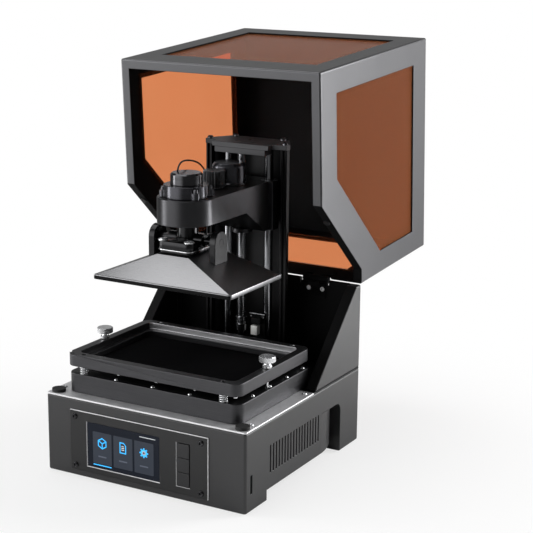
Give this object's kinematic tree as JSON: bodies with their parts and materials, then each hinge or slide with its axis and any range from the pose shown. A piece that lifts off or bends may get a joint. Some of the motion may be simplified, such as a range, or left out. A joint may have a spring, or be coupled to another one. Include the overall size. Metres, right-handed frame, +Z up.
{
  "type": "resin printer",
  "caption": "Desktop resin printer with touch screen, sprung vat, build plate on a lead-screw arm and a hinged hood with amber windows.",
  "frame": {"origin": "centre of the base's footprint on the table, under the rubber feet", "axes": "+X to the printer's right, +Y to its back, +Z up"},
  "size_m": [0.2, 0.348, 0.3612],
  "materials": {
    "black_coat": "satin black powder coat with a fine grain",
    "black_rubber": "matt black rubber",
    "bright_deck": "finely brushed bright plate",
    "black_screws": "blackened steel",
    "panel_black": "smooth matt black laminate",
    "screen_glass": null,
    "circuit_board": "green solder mask",
    "key_plastic": "matt black plastic",
    "motor_steel": "dark laminated steel with bright ends",
    "bare_aluminium": "bare machined aluminium",
    "reflector": "polished reflector sheet",
    "socket_plastic": "black moulded plastic",
    "block_black": "satin black coat",
    "exposure_glass": "dark polished glass",
    "bright_steel": "ground bright steel",
    "vat_anodised": "black anodised, finely blasted",
    "clear_film": "clear fluoropolymer film",
    "ring_black": "black anodised",
    "polished_screw": "polished nickel plate",
    "tower_anodised": "black anodised extrusion",
    "dark_steel": "dark oiled steel",
    "white_plastic": "white moulded plastic",
    "arm_coat": "satin black coat on cast aluminium",
    "brass_nut": "machined brass",
    "collar_black": "black anodised, turned",
    "cap_metal": "grey anodised, turned",
    "knob_black": "satin black moulded plastic",
    "head_black": "satin black coat",
    "plate_aluminium": "finely brushed aluminium",
    "panel_steel": "satin black coat with a bright folded top edge",
    "hinge_steel": "blackened hinge with bright screws",
    "hinge_black": "blackened steel",
    "hood_coat": "satin black powder coat with a fine grain",
    "amber_window": "clear orange acrylic, polished",
    "lead_jacket": "thin black jacket"
  },
  "bodies": {
    "base": {"base_shell": "black_coat", "bottom_plate": "black_coat", "rubber_pads": "black_rubber", "deck_plate": "bright_deck", "cover_screws": "black_screws", "panel_plate": "panel_black", "touch_screen": "screen_glass", "panel_boards": "circuit_board", "mainboard": "circuit_board", "stepper_motor": "motor_steel", "uv_lamp": "bare_aluminium", "lamp_reflector": "reflector", "fan_frame": "socket_plastic", "rear_sockets": "socket_plastic", "lcd_block": "block_black", "lcd_panel": "exposure_glass", "guide_pins": "bright_steel", "vat_springs": "bright_steel", "tower_extrusion": "tower_anodised", "guide_rods": "bright_steel", "tower_top_plate": "tower_anodised", "tower_top_screws": "dark_steel", "limit_switch": "white_plastic", "rear_housing": "black_coat", "back_panel": "panel_steel", "wall_hinges": "hinge_steel", "hinge_pins": "bright_steel"},
    "hood": {"hood_frame": "hood_coat", "hood_windows": "amber_window", "hood_bumpers": "black_rubber", "hood_hinges": "hinge_black"},
    "carriage": {"carriage": "arm_coat", "rod_bushes": "bare_aluminium", "lead_nut": "brass_nut", "arm": "arm_coat", "sensor_collar": "collar_black", "sensor_cap": "cap_metal", "collar_screws": "dark_steel", "levelling_head": "head_black", "levelling_screws": "polished_screw", "tilt_shaft": "bright_steel", "sensor_lead": "lead_jacket"},
    "screw": {"motor_coupling": "bare_aluminium", "lead_screw": "bright_steel"},
    "vat": {"vat_frame": "vat_anodised", "vat_film": "clear_film", "film_ring": "ring_black", "film_ring_screws": "bright_steel"},
    "thumbscrew_left": {"thumbscrew_left": "polished_screw"},
    "thumbscrew_right": {"thumbscrew_right": "polished_screw"},
    "key_top": {"key_top": "key_plastic"},
    "key_middle": {"key_middle": "key_plastic"},
    "key_bottom": {"key_bottom": "key_plastic"},
    "plate_lock_knob": {"plate_lock_knob": "knob_black"},
    "arm_lock_knob": {"arm_lock_knob": "knob_black"},
    "plate": {"plate_bracket": "head_black", "build_plate": "plate_aluminium"},
    "fan_rotor": {"fan_rotor": "socket_plastic"},
    "switch_rocker": {"switch_rocker": "key_plastic"}
  },
  "joints": [
    {"name": "hood_swing", "type": "hinge", "parent": "base", "child": "hood", "pos_m": [0, 0.1015, 0.1484], "axis": [1, 0, 0], "range_deg": [0, 86.5]},
    {"name": "arm_lift", "type": "slide", "parent": "base", "child": "carriage", "axis": [0, 0, 1], "range_m": [-0.073, 0.018]},
    {"name": "lead_screw_spin", "type": "hinge", "parent": "base", "child": "screw", "pos_m": [0, 0.059, 0.15], "axis": [0, 0, 1], "range_deg": [-820, 3300]},
    {"name": "plate_tilt", "type": "hinge", "parent": "carriage", "child": "plate", "pos_m": [0, -0.032, 0.205], "axis": [1, 0, 0], "range_deg": [-1.5, 1.5]},
    {"name": "plate_lock_turn", "type": "hinge", "parent": "carriage", "child": "plate_lock_knob", "pos_m": [0, 0.0105, 0.25], "axis": [0, 0, 1], "continuous": true},
    {"name": "arm_lock_turn", "type": "hinge", "parent": "carriage", "child": "arm_lock_knob", "pos_m": [0, 0.036, 0.25], "axis": [0, 0, 1], "continuous": true},
    {"name": "vat_press", "type": "slide", "parent": "base", "child": "vat", "axis": [0, 0, 1], "range_m": [-0.0015, 0], "stiffness_N_per_m": 2400, "springref_m": 0.004, "deforming": ["vat_springs"]},
    {"name": "thumbscrew_left_turn", "type": "hinge", "parent": "base", "child": "thumbscrew_left", "pos_m": [-0.083, -0.03905, 0.11], "axis": [0, 0, 1], "continuous": true},
    {"name": "thumbscrew_right_turn", "type": "hinge", "parent": "base", "child": "thumbscrew_right", "pos_m": [0.083, -0.03905, 0.11], "axis": [0, 0, 1], "continuous": true},
    {"name": "key_top_press", "type": "slide", "parent": "base", "child": "key_top", "axis": [0, 1, 0], "range_m": [0, 0.0006], "stiffness_N_per_m": 800, "springref_m": -0.0006},
    {"name": "key_middle_press", "type": "slide", "parent": "base", "child": "key_middle", "axis": [0, 1, 0], "range_m": [0, 0.0006], "stiffness_N_per_m": 800, "springref_m": -0.0006},
    {"name": "key_bottom_press", "type": "slide", "parent": "base", "child": "key_bottom", "axis": [0, 1, 0], "range_m": [0, 0.0006], "stiffness_N_per_m": 800, "springref_m": -0.0006},
    {"name": "switch_rock", "type": "hinge", "parent": "base", "child": "switch_rocker", "pos_m": [0.042, 0.1015, 0.028], "axis": [1, 0, 0], "range_deg": [-14, 0]},
    {"name": "fan_spin", "type": "hinge", "parent": "base", "child": "fan_rotor", "pos_m": [-0.05, 0.096, 0.041], "axis": [0, 1, 0], "continuous": true}
  ],
  "couplings": [
    {"joint": "lead_screw_spin", "follows": "arm_lift", "rad_per_m": -785.4}
  ]
}
